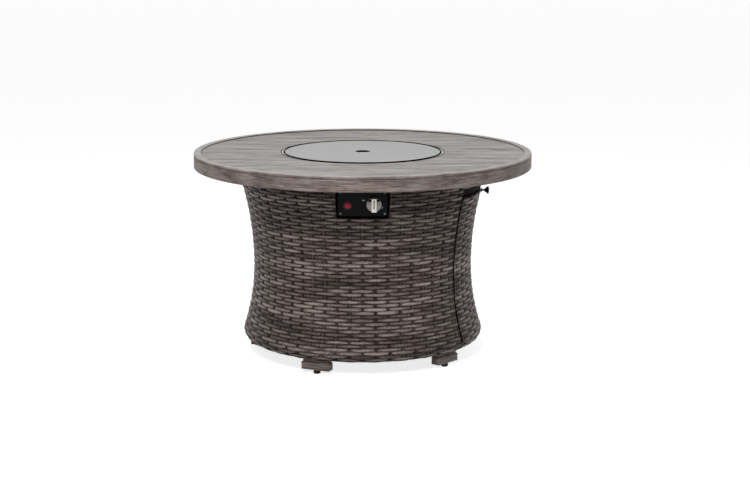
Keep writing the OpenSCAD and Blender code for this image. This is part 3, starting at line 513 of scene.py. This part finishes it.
def make_materials():
    """One material for each of the record's slots, and those of the pieces made here."""
    strand_tones = srgb(38, 29, 27), srgb(99, 87, 82), srgb(171, 157, 150)
    # Stakes darker than the rows: painted shade in the gaps between floats
    shaded_stake_tones = srgb(36, 29, 27), srgb(68, 58, 55), srgb(102, 90, 85)
    even = (1, 1, 1)
    return {
        "rim_metal": grain_round("rim wood grain"),
        "panel_metal": grain_top("panel wood grain"),
        "lid_metal": lid_coat("lid satin grey"),
        "seat_steel": bare_metal("lid seat satin steel", srgb(205, 204, 202), 0.35, even),
        # Hidden frame coated near black as painted shade in the gaps round the door and above it
        "frame_metal": coated_metal("frame near black coat as gap shade", srgb(24, 21, 20), 0.75, specular=0.03),
        "zinc_steel": bare_metal("zinc plate", srgb(188, 190, 192), 0.35),
        "pan_steel": bare_metal("satin stainless", srgb(160, 159, 156), 0.36, (1, 14, 1)),
        "brass": bare_metal("turned brass", srgb(214, 180, 104), 0.3),
        "ceramic": moulded("glazed ceramic", srgb(228, 224, 214), 0.2, 0.04),
        "copper_probe": bare_metal("copper", srgb(206, 150, 108), 0.3),
        "lead_rubber": moulded("black sleeve", srgb(38, 38, 40), 0.5),
        # Black rubber, also the painted shade round the lid, round its seat and in its finger cup
        "lid_seal": moulded("black rubber and painted shade", srgb(16, 14, 13), 0.8, specular=0.02),
        # Light coat on the finger cup's bead: painted highlight on the cup's lip
        "lid_bright": coated_metal("cup rim painted highlight", srgb(226, 226, 225), 0.6, 0.03, specular=0.1),
        "wicker": wicker_strands("wicker strands", *strand_tones, specular=0.2),
        "wicker_stake": wicker_strands("wicker stakes", *shaded_stake_tones, specular=0.08),
        "tray_steel": coated_metal("tray black coat", srgb(58, 58, 60), 0.5),
        "foot_metal": grain_block("foot wood grain"),
        "glide_plastic": moulded("glide black plastic", srgb(26, 26, 27), 0.5),
        "panel_black": coated_metal("panel black coat", srgb(12, 11, 12), 0.45, specular=0.08),
        "screw_black": bare_metal("screw grey", srgb(112, 113, 117), 0.35),
        "knob_chrome": bare_metal("knob satin chrome", srgb(186, 181, 176), 0.26, even, 0.05),
        # Plate darker than bare chrome: painted reflection of dark surroundings
        "knob_plate": bare_metal("knob plate chrome, painted dark reflection", srgb(112, 109, 106), 0.15, even, 0.08),
        "mark_white": moulded("panel mark white", srgb(214, 214, 212), 0.5, 0.04),
        "igniter_plastic": moulded("igniter black plastic", srgb(24, 24, 27), 0.4),
        "button_red": moulded("button red plastic", srgb(226, 22, 72), 0.25, specular=0.2),
        "pull_black": coated_metal("pull black satin", srgb(22, 22, 23), 0.35),
        "magnet_black": moulded("catch black plastic", srgb(40, 40, 42), 0.5),
        "weave_backing": coated_metal("weave shadow", srgb(10, 9, 8), 0.9, specular=0.0),
    }


def dress_nodes(materials):
    """Gives every solid the material of its slot."""
    for part in frame["record"]["subparts"]:
        node = frame["nodes"][part["node"]]
        node.data.materials.clear()
        node.data.materials.append(materials[part["material_slot"]])


def flare(run):
    """Radius, height and outward normal of the flare at distances along it."""
    run = np.asarray(run, float)
    roll = run / ROLL_ROUND - math.pi / 2
    low = JOIN_ANGLE - (run - ROLL_LEN) / LOWER_CURVE
    high = (run - ROLL_LEN - LOWER_LEN) / UPPER_CURVE
    in_roll = run < ROLL_LEN
    in_low = run < ROLL_LEN + LOWER_LEN

    def pick(roll_value, low_value, high_value):
        return np.where(in_roll, roll_value, np.where(in_low, low_value, high_value))

    radius = pick(ROLL_CR + ROLL_ROUND * np.cos(roll), WAIST_R + LOWER_CURVE * (1 - np.cos(low)),
                  WAIST_R + UPPER_CURVE * (1 - np.cos(high)))
    height = pick(ROLL_Z + ROLL_ROUND * np.sin(roll), WAIST_Z - LOWER_CURVE * np.sin(low),
                  WAIST_Z + UPPER_CURVE * np.sin(high))
    normal_r = pick(np.cos(roll), np.cos(low), np.cos(high))
    normal_z = pick(np.sin(roll), np.sin(low), -np.sin(high))
    return radius, height, normal_r, normal_z


def flare_radius(run):
    """Radius of the flare at one distance along it."""
    return float(flare(run)[0])


def run_at_height(height):
    """Distance along the flare at a height above the foot roll's join."""
    if height >= WAIST_Z:
        return ROLL_LEN + LOWER_LEN + UPPER_CURVE * math.asin((height - WAIST_Z) / UPPER_CURVE)
    return ROLL_LEN + LOWER_LEN - LOWER_CURVE * math.asin((WAIST_Z - height) / LOWER_CURVE)


def strand_rings(run, turn, lift, width, shade, seed):
    """Rings of points of a strand and their values, from arrays of its places along and round the flare."""
    radius, height, normal_r, normal_z = flare(run)
    cos, sin = np.cos(turn), np.sin(turn)
    normal = np.stack([normal_r * cos, normal_r * sin, normal_z], 1)
    centre = np.stack([radius * cos, radius * sin, height], 1) + normal * lift[:, None]
    tangent = np.gradient(centre, axis=0)
    tangent /= np.linalg.norm(tangent, axis=1)[:, None]
    side = np.cross(normal, tangent)
    side /= np.linalg.norm(side, axis=1)[:, None]
    points = []
    for place, rise in SECTION:
        out = rise * (STRAND_ARCH if rise > 0 else STRAND_UNDER)
        points.append(centre + side * (place * width / 2)[:, None] + normal * out)
    rings = np.stack(points, 1).reshape(-1, 3)
    lengths = np.linalg.norm(np.diff(centre, axis=0), axis=1)
    along = np.repeat(np.concatenate([[0], np.cumsum(lengths)]), len(SECTION))
    across = np.tile([float(place) for place, rise in SECTION], len(run))
    return rings, along, across, np.repeat(shade, len(SECTION)), np.full(len(along), seed)


def mesh_piece(name, points, faces, material, values=None):
    """An object from points and faces, with values kept at its points."""
    mesh = bpy.data.meshes.new(name)
    mesh.from_pydata(points, [], faces)
    for key, data in (values or {}).items():
        mesh.attributes.new(key, "FLOAT", "POINT").data.foreach_set("value", np.asarray(data, np.float32))
    mesh.validate()
    mesh.polygons.foreach_set("use_smooth", [True] * len(mesh.polygons))
    mesh.materials.append(material)
    piece = bpy.data.objects.new(name, mesh)
    bpy.context.scene.collection.objects.link(piece)
    return piece


def tube_faces(base, steps):
    """Faces of a strand from its first point on: round its rings, and across both ends."""
    count = len(SECTION)
    last = base + (steps - 1) * count
    faces = []
    for ring in range(base, last, count):
        for k in range(count):
            a, b = ring + k, ring + (k + 1) % count
            faces.append((a, b, b + count, a + count))
    faces.append(tuple(reversed(range(base, base + count))))
    faces.append(tuple(range(last, last + count)))
    return faces


def strands_piece(name, strands, material):
    """One object from many strands, each a closed tube of its rings."""
    faces = []
    base = 0
    for rings, *_ in strands:
        faces += tube_faces(base, len(rings) // len(SECTION))
        base += len(rings)
    points, *values = (np.concatenate(column) for column in zip(*strands))
    return mesh_piece(name, points, faces, material, dict(zip(STRAND_VALUES, values)))


def row_strand(row, run, first, last, dice):
    """A strand that goes behind every other stake, from one direction to another."""
    period = 2 * STAKE_STEP
    begin = (row % 2) * STAKE_STEP
    floats = range(int((first - begin) / period) - 1, STAKES)
    turns = [begin + period * (number + place) for number in floats for place in DIP_PLACES]
    between = [turn for turn in turns if first + END_CLEAR < turn < last - END_CLEAR]
    turn = np.array([first] + between + [last])
    away = np.abs((turn - begin + STAKE_STEP) % period - STAKE_STEP)
    behind = np.exp(-(away * flare_radius(run) / DIP) ** 2)
    bow = (1 - away / STAKE_STEP) ** 2
    drift = dice.normal(0, DRIFT, len(turn))
    lift = -STRAND_ARCH - STRAND_SET - 2 * WAVE * behind - FLOAT_BOW * bow + drift
    width = STRAND_W * dice.uniform(1 - WIDTH_SPREAD, 1 + WIDTH_SPREAD) * (1 - PINCH * bow)
    # The bow is also the strand's painted shade, strongest at its dips
    return strand_rings(run + drift, turn, lift, width, bow, dice.uniform(0, SEED_RANGE))


def plain_strand(run, turn, deep, width, shade, dice):
    """A strand of one depth, width and shade, from arrays of its places along and round the flare."""
    count = len(run)
    lift = np.full(count, -deep)
    seed = dice.uniform(0, SEED_RANGE)
    return strand_rings(run, turn, lift, np.full(count, width), np.full(count, shade), seed)


def stake_strand(turn, low, high, width, deep, dice):
    """An upright strand between two distances along the flare."""
    steps = max(3, int((high - low) / STAKE_RINGS))
    run = np.linspace(low, high, steps)
    return plain_strand(run, np.full(steps, turn), deep, width, 0.0, dice)


def border_strand(first, last, dice):
    """A strand along the foot, close behind the rows, darkened all along by painted shade."""
    steps = max(3, int((last - first) / TURN_STEP))
    turn = np.linspace(first, last, steps)
    return plain_strand(np.full(steps, BORDER_RUN), turn, BORDER_DEEP, BORDER_W, 1.0, dice)


def row_places():
    """Numbers of all the rows, with their distances along the flare."""
    rows = int(FLARE_LEN / ROW_PITCH)
    return [(row, (row + 0.5) * FLARE_LEN / rows) for row in range(rows)]


def shade_top():
    """Height at which the band of painted shade above the door ends."""
    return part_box("door_header")[0][2] + DOOR_SHADE


def panel_span(radius):
    """Directions at a radius between which the opening round the control panel is left dark as its painted
    shadow.
    """
    low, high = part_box("panel_face")
    left = math.asin((low[0] - PANEL_SHADOW_LEFT) / radius)
    right = math.asin((high[0] + PANEL_SHADOW_RIGHT) / radius)
    return FRONT + left, FRONT + right


def row_spans(height):
    """Directions that a row of the body covers at a height: it stops at the door and the control panel."""
    radius = flare_radius(run_at_height(max(height, ROLL_Z)))
    edge = DOOR_HALF + GAP_MARGIN / radius
    begin, end = (edge, FULL_TURN - edge) if height < shade_top() else (0, FULL_TURN)
    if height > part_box("panel_face")[0][2] - PANEL_SHADOW_BELOW:
        left, right = panel_span(radius)
        return [(begin, left), (right, end)]
    return [(begin, end)]


def stake_ends(turn):
    """Distances along the flare between which a stake of the body runs: clear of door and control panel."""
    panel_run = run_at_height(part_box("panel_face")[0][2] - PANEL_SHADOW_BELOW)
    left, right = panel_span(flare_radius(panel_run))
    from_door = abs((turn + math.pi) % FULL_TURN - math.pi)
    start = 0 if from_door > DOOR_HALF + DOOR_CLEAR else run_at_height(shade_top())
    stop = panel_run if left < turn < right else FLARE_LEN
    return start, stop


def hand_over(pieces, body, node):
    """Gives the pieces of a weave to a body, in place of a solid."""
    for piece in pieces:
        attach(piece, body)
    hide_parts(node)


def weave_body(materials):
    """Rows and stakes of the body, with edges along the door and a border along the foot."""
    dice = np.random.default_rng(BODY_DICE)
    low_rows, high_rows = [], []
    for row, run in row_places():
        height = float(flare(run)[1])
        rows = low_rows if height < WAIST_Z else high_rows
        for begin, end in row_spans(height):
            rows.append(row_strand(row, run, begin, end, dice))
    turns = [number * STAKE_STEP for number in range(STAKES)]
    stakes = [stake_strand(turn, *stake_ends(turn), STAKE_W, STAKE_DEEP, dice) for turn in turns]
    edge = DOOR_HALF + 2 * GAP_MARGIN / WAIST_R
    door_run = run_at_height(shade_top())
    for turn in (-edge, edge):
        low_rows.append(stake_strand(turn, 0, door_run, EDGE_W, EDGE_DEEP, dice))
    low_rows.append(border_strand(DOOR_HALF, FULL_TURN - DOOR_HALF, dice))
    hand_over([strands_piece("body_weave_low", low_rows, materials["wicker"]),
               strands_piece("body_weave_high", high_rows, materials["wicker"]),
               strands_piece("body_stakes", stakes, materials["wicker_stake"])], "table", "wicker_body")


def weave_door(materials):
    """Rows and stakes of the door, on the same heights as the body's, with an edge at each side."""
    dice = np.random.default_rng(DOOR_DICE)
    half = DOOR_HALF - (DOOR_GAP + GAP_MARGIN) / WAIST_R
    top_run = run_at_height(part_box("wicker_door")[1][2])
    last_run = top_run - DOOR_END
    rows = [row_strand(row, run, -half, half, dice) for row, run in row_places() if run < last_run]
    reach = int(half / STAKE_STEP)
    turns = [number * STAKE_STEP for number in range(-reach, reach + 1)]
    stakes = [stake_strand(turn, DOOR_FOOT, top_run, STAKE_W, STAKE_DEEP, dice) for turn in turns]
    edge = half - GAP_MARGIN / WAIST_R
    for turn in (-edge, edge):
        rows.append(stake_strand(turn, DOOR_FOOT, top_run, EDGE_W, EDGE_DEEP, dice))
    hand_over([strands_piece("door_weave", rows, materials["wicker"]),
               strands_piece("door_stakes", stakes, materials["wicker_stake"])], "door", "wicker_door")


def slab_points(begin, end, low, high, inset):
    """Two layers of points below the flare, between two directions and two distances along it."""
    turns = np.linspace(begin, end, max(2, int((end - begin) / TURN_STEP)))
    runs = np.linspace(low, high, max(2, int((high - low) / RUN_STEP)))
    points = []
    for depth in (inset, inset + BACKING_THICK):
        for run in runs:
            radius, height, normal_r, normal_z = (float(value) for value in flare(run))
            out = radius - normal_r * depth
            level = height - normal_z * depth
            points += [(out * math.cos(turn), out * math.sin(turn), level) for turn in turns]
    return points, len(turns), len(runs)


def slab_faces(base, wide, tall):
    """Faces of a slab from its first point on: outer face, inner face and the edge all round."""
    def at(layer, i, j):
        return base + (layer * tall + i) * wide + j

    faces = []
    for i in range(tall - 1):
        for j in range(wide - 1):
            faces.append((at(0, i, j), at(0, i, j + 1), at(0, i + 1, j + 1), at(0, i + 1, j)))
            faces.append((at(1, i, j), at(1, i + 1, j), at(1, i + 1, j + 1), at(1, i, j + 1)))
    edge = [(0, j) for j in range(wide - 1)] + [(i, wide - 1) for i in range(tall - 1)]
    edge += [(tall - 1, j) for j in range(wide - 1, 0, -1)] + [(i, 0) for i in range(tall - 1, 0, -1)]
    for here, there in zip(edge, edge[1:] + edge[:1]):
        faces.append((at(0, *there), at(0, *here), at(1, *here), at(1, *there)))
    return faces


def backing_sheet(name, body, inset, spans, material):
    """Sheet painted dark as shade behind the weave, of one slab for each span."""
    points, faces = [], []
    for span in spans:
        more, wide, tall = slab_points(*span, inset)
        faces += slab_faces(len(points), wide, tall)
        points += more
    piece = mesh_piece(name, points, faces, material)
    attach(piece, body)


def make_backing(materials):
    """Backing painted dark as shade, of the body with openings for the door and the control panel, and of
    the door.
    """
    low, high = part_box("panel_face")
    door_run = run_at_height(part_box("door_header")[0][2])
    panel_run = run_at_height(low[2])
    panel_half = math.asin(high[0] / flare_radius(panel_run))
    body_spans = [(DOOR_HALF, FULL_TURN - DOOR_HALF, 0, panel_run),
                  (DOOR_HALF, FRONT - panel_half, panel_run, door_run),
                  (FRONT + panel_half, FULL_TURN - DOOR_HALF, panel_run, door_run),
                  (FRONT + panel_half - FULL_TURN, FRONT - panel_half, door_run, FLARE_LEN)]
    backing_sheet("body_backing", "table", BODY_BACKING, body_spans, materials["weave_backing"])
    door_half = DOOR_HALF - DOOR_GAP / WAIST_R
    door_spans = [(-door_half, door_half, BACKING_FOOT, run_at_height(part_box("wicker_door")[1][2]))]
    backing_sheet("door_backing", "door", DOOR_BACKING, door_spans, materials["weave_backing"])


def deselect():
    """Deselects every object, because an operator acts on all that is selected."""
    bpy.ops.object.select_all(action="DESELECT")


def edit_all():
    """Opens the active object's mesh with all of it selected."""
    bpy.ops.object.mode_set(mode="EDIT")
    bpy.ops.mesh.select_all(action="SELECT")


def leave_edit():
    """Closes the active object's mesh."""
    bpy.ops.object.mode_set(mode="OBJECT")


def keep_place():
    """Moves the place, turn and scale of the active object into its mesh."""
    bpy.ops.object.transform_apply(location=True, rotation=True, scale=True)


def bevel_sharp(width, segments):
    """Rounds the sharp edges of the active object."""
    bpy.ops.object.mode_set(mode="EDIT")
    bpy.ops.mesh.select_mode(type="EDGE")
    bpy.ops.mesh.select_all(action="DESELECT")
    bpy.ops.mesh.edges_select_sharp(sharpness=BEVEL_FROM)
    bpy.ops.mesh.bevel(offset=width, segments=segments, affect="EDGES")
    leave_edit()


def finish_piece(name, body, material):
    """Names the active object, keeps its place in the mesh, and hands it to a body and a slot."""
    piece = bpy.context.object
    piece.name = name
    keep_place()
    bpy.ops.object.shade_smooth_by_angle(angle=SHARP_FROM)
    piece.data.materials.clear()
    piece.data.materials.append(material)
    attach(piece, body)
    return piece


def join_pieces(pieces):
    """Joins pieces to the first one, which stays as the active object."""
    deselect()
    for piece in pieces:
        piece.select_set(True)
    bpy.context.view_layer.objects.active = pieces[0]
    bpy.ops.object.join()


def block(centre, size, bevel, segments=BEVEL_STEPS):
    """Box with rounded edges, left as the active object."""
    deselect()
    bpy.ops.mesh.primitive_cube_add(size=1, location=centre)
    bpy.context.object.scale = size
    bpy.ops.object.transform_apply(location=False, rotation=False, scale=True)
    bevel_sharp(bevel, segments)
    return bpy.context.object


def disc(centre, radius, depth, bevel):
    """Round slab with its axis along Y and rounded edges, left as the active object."""
    deselect()
    bpy.ops.mesh.primitive_cylinder_add(vertices=ROUND_SIDES, radius=radius, depth=depth, location=centre,
                                        rotation=(math.pi / 2, 0, 0))
    bpy.ops.object.transform_apply(location=False, rotation=True, scale=False)
    bevel_sharp(bevel, BEVEL_STEPS)
    return bpy.context.object


def dome(centre, radius, rise):
    """Cap of a sphere that bulges towards the front from a round base, left as the active object."""
    ball = (radius ** 2 + rise ** 2) / (2 * rise)
    middle = (centre[0], centre[1] + ball - rise, centre[2])
    deselect()
    bpy.ops.mesh.primitive_uv_sphere_add(segments=ROUND_SIDES, ring_count=DOME_RINGS, radius=ball,
                                         location=middle, rotation=(math.pi / 2, 0, 0))
    keep_place()
    edit_all()
    bpy.ops.mesh.bisect(plane_co=centre, plane_no=(0, 1, 0), clear_outer=True, use_fill=True)
    leave_edit()
    return bpy.context.object


def bead(radius, thick, height):
    """Round bead about the table's axis, a circle spun round it, left as the active object."""
    deselect()
    bpy.ops.mesh.primitive_circle_add(vertices=BEAD_SIDES, radius=thick, location=(radius, 0, height),
                                      rotation=(math.pi / 2, 0, 0))
    keep_place()
    edit_all()
    bpy.ops.mesh.spin(steps=BEAD_STEPS, angle=FULL_TURN, center=(0, 0, 0), axis=(0, 0, 1))
    bpy.ops.mesh.select_all(action="SELECT")
    bpy.ops.mesh.remove_doubles(threshold=MERGE)
    bpy.ops.mesh.normals_make_consistent(inside=False)
    leave_edit()


def box_of(node):
    """Low corner, high corner and middle of a solid's box."""
    low, high = (np.array(corner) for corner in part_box(node))
    return low, high, (low + high) / 2


def make_knob(materials):
    """Control knob: domed chrome plate, grip bar and a dark pointer line on the bar."""
    low, high, middle = box_of("control_knob")
    radius = (high[0] - low[0]) / 2
    base = disc((middle[0], high[1] - KNOB_PLATE / 2, middle[2]), radius, KNOB_PLATE, KNOB_EDGE)
    cap = dome((middle[0], high[1] - KNOB_PLATE + KNOB_SINK, middle[2]), radius - KNOB_EDGE, KNOB_RISE)
    join_pieces([base, cap])
    plate = finish_piece("knob_plate", "knob", materials["knob_plate"])
    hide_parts("control_knob")

    depth = high[1] - low[1] - KNOB_PLATE
    bar = (BAR_W, depth, 2 * (radius - BAR_CLEAR))
    block((middle[0], low[1] + depth / 2, middle[2]), bar, BAR_ROUND, segments=4)
    finish_piece("knob_bar", "knob", materials["knob_chrome"])
    pointer = (POINTER_W, POINTER_T, POINTER_LEN * radius)
    block((middle[0], low[1], middle[2] + POINTER_UP), pointer, POINTER_ROUND, segments=2)
    finish_piece("knob_pointer", "knob", materials["lid_seal"])


def make_panel_marks(materials):
    """Plain tick and dot on the control panel, at two sides of the knob."""
    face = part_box("panel_face")[0][1]
    low, high, middle = box_of("control_knob")
    for name, degrees, gap, width, height in MARKS:
        turn = math.radians(degrees)
        reach = (high[0] - low[0]) / 2 + gap
        centre = (middle[0] + reach * math.cos(turn), face - MARK_OUT, middle[2] + reach * math.sin(turn))
        block(centre, (width, MARK_T, height), MARK_ROUND, segments=1)
        finish_piece(name, "table", materials["mark_white"])


def make_button(materials):
    """Red button with a rounded edge, over the solid one."""
    low, high, middle = box_of("igniter_button")
    disc(middle, (high[0] - low[0]) / 2, high[1] - low[1], BUTTON_ROUND)
    piece = finish_piece("button_cap", "button", materials["button_red"])
    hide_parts("igniter_button")


def make_lid_edge(materials):
    """Dark bead round the lid's edge and dark line round its seat as painted shade of their gaps, and light
    bead round the finger cup as a painted highlight.
    """
    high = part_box("lid")[1]
    bead(high[0] - LID_BEAD_IN, LID_BEAD, high[2] - LID_BEAD_SINK)
    finish_piece("lid_gap_shade", "lid", materials["lid_seal"])
    bead(CUP_R + CUP_BEAD, CUP_BEAD, high[2] - CUP_BEAD_SINK)
    finish_piece("lid_cup_highlight", "lid", materials["lid_bright"])
    bead(SEAT_R, SEAT_BEAD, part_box("table_panel")[1][2])
    finish_piece("seat_gap_shade", "table", materials["lid_seal"])


def make_cup_shade_liner(materials):
    """Black liner on the floor and wall of the lid's finger cup, round its finger hole, as painted shade in
    the cup.
    """
    floor = (0, 0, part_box("lid")[1][2] - CUP_FLOOR)
    wide = (CUP_R - LINER) / (FINGER_R + LINER)
    deselect()
    bpy.ops.mesh.primitive_circle_add(vertices=ROUND_SIDES, radius=FINGER_R + LINER, location=floor)
    keep_place()
    edit_all()
    bpy.ops.mesh.extrude_edges_move()
    bpy.ops.transform.resize(value=(wide, wide, 1), center_override=floor)
    bpy.ops.mesh.extrude_edges_move(TRANSFORM_OT_translate={"value": (0, 0, CUP_FLOOR - LINER)})
    leave_edit()
    solidify = bpy.context.object.modifiers.new("wall", "SOLIDIFY")
    solidify.thickness = LINER
    solidify.offset = 0
    bpy.ops.object.modifier_apply(modifier=solidify.name)
    edit_all()
    bpy.ops.mesh.normals_make_consistent(inside=False)
    leave_edit()
    finish_piece("lid_cup_shade_liner", "lid", materials["lid_seal"])


def make_feet(materials):
    """Foot blocks with rounded edges and a stepped cap, evenly round the base."""
    middle = FOOT_REACH - FOOT_DEPTH / 2
    for number in range(FOOT_COUNT):
        node = "foot_%d" % (number + 1)
        low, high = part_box(node)
        step = high[2] - CAP_H
        body_size = (FOOT_DEPTH, FOOT_WIDTH, step - low[2])
        body = block((middle, 0, (low[2] + step) / 2), body_size, FOOT_ROUND)
        cap_size = (FOOT_DEPTH - CAP_LEDGE, FOOT_WIDTH - 2 * CAP_LEDGE, CAP_H)
        cap = block((middle - CAP_LEDGE / 2, 0, step + CAP_H / 2), cap_size, CAP_ROUND)
        join_pieces([body, cap])
        keep_place()
        turn = FIRST_FOOT + number * FULL_TURN / FOOT_COUNT
        bpy.ops.transform.rotate(value=-turn, orient_axis="Z", center_override=(0, 0, 0))
        piece = finish_piece(node + "_block", "table", materials["foot_metal"])
        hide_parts(node)


def set_camera():
    """Camera straight in front of the table, above it and tilted down."""
    camera = bpy.data.cameras.new("photo_camera")
    camera.sensor_width = SENSOR
    camera.lens = LENS_PX / IMAGE_W * SENSOR
    camera.shift_x = (MIDDLE_PX - AXIS_PX) / IMAGE_W
    camera.dof.use_dof = False
    holder = bpy.data.objects.new("photo_camera", camera)
    holder.location = (0, -CAMERA_BACK, CAMERA_UP)
    holder.rotation_euler = (math.pi / 2 - CAMERA_PITCH, 0, 0)
    bpy.context.scene.collection.objects.link(holder)
    bpy.context.scene.camera = holder


def looked_at(tree):
    """1 for what the camera sees directly, in a mirror or through glass, and 0 for light on things."""
    camera = Signal(tree).node("LightPath", output=LOOKED_AT[0])
    glossy, through = (camera.also(name) for name in LOOKED_AT[1:])
    return camera.math("MAXIMUM", camera, camera.math("MAXIMUM", glossy, through))


def set_world():
    """White surroundings, of which only a share lights the object."""
    bpy.context.scene.view_settings.view_transform = "Standard"
    world = bpy.data.worlds.new("studio")
    bpy.context.scene.world = world
    world.use_nodes = True
    back = world.node_tree.nodes["Background"]
    back.inputs["Color"].default_value = WHITE
    seen = looked_at(world.node_tree)
    seen.feed(back.inputs["Strength"], AMBIENT + seen * (1 - AMBIENT))


def set_floor():
    """White floor that keeps the table's shadow."""
    deselect()
    bpy.ops.mesh.primitive_plane_add(size=FLOOR_SIZE, location=(0, 0, 0))
    floor = bpy.context.object
    floor.name = "floor"
    material, shader, place = new_material("white floor", roughness=0.9)
    shader.inputs["Base Color"].default_value = FLOOR_GREY
    shader.inputs["Emission Strength"].default_value = FLOOR_GLOW
    seen = looked_at(material.node_tree)
    seen.feed(shader.inputs["Emission Color"], seen.mix(BLACK, WHITE))
    floor.data.materials.append(material)


def set_lamps():
    """Soft square lamps: a key from the front, and weaker ones from the right, above and behind."""
    for name, place, target, side, watts in LAMPS:
        light = bpy.data.lights.new(name, "AREA")
        light.shape = "SQUARE"
        light.size = side
        light.energy = watts
        holder = bpy.data.objects.new(name, light)
        holder.location = place
        way = np.subtract(target, place)
        tilt = math.atan2(math.hypot(way[0], way[1]), -way[2])
        holder.rotation_euler = (tilt, 0, math.atan2(way[0], -way[1]) + math.pi)
        bpy.context.scene.collection.objects.link(holder)


set_camera()
set_world()
set_floor()
set_lamps()
materials = make_materials()
dress_nodes(materials)
weave_body(materials)
weave_door(materials)
make_backing(materials)
make_knob(materials)
make_panel_marks(materials)
make_button(materials)
make_lid_edge(materials)
make_cup_shade_liner(materials)
make_feet(materials)
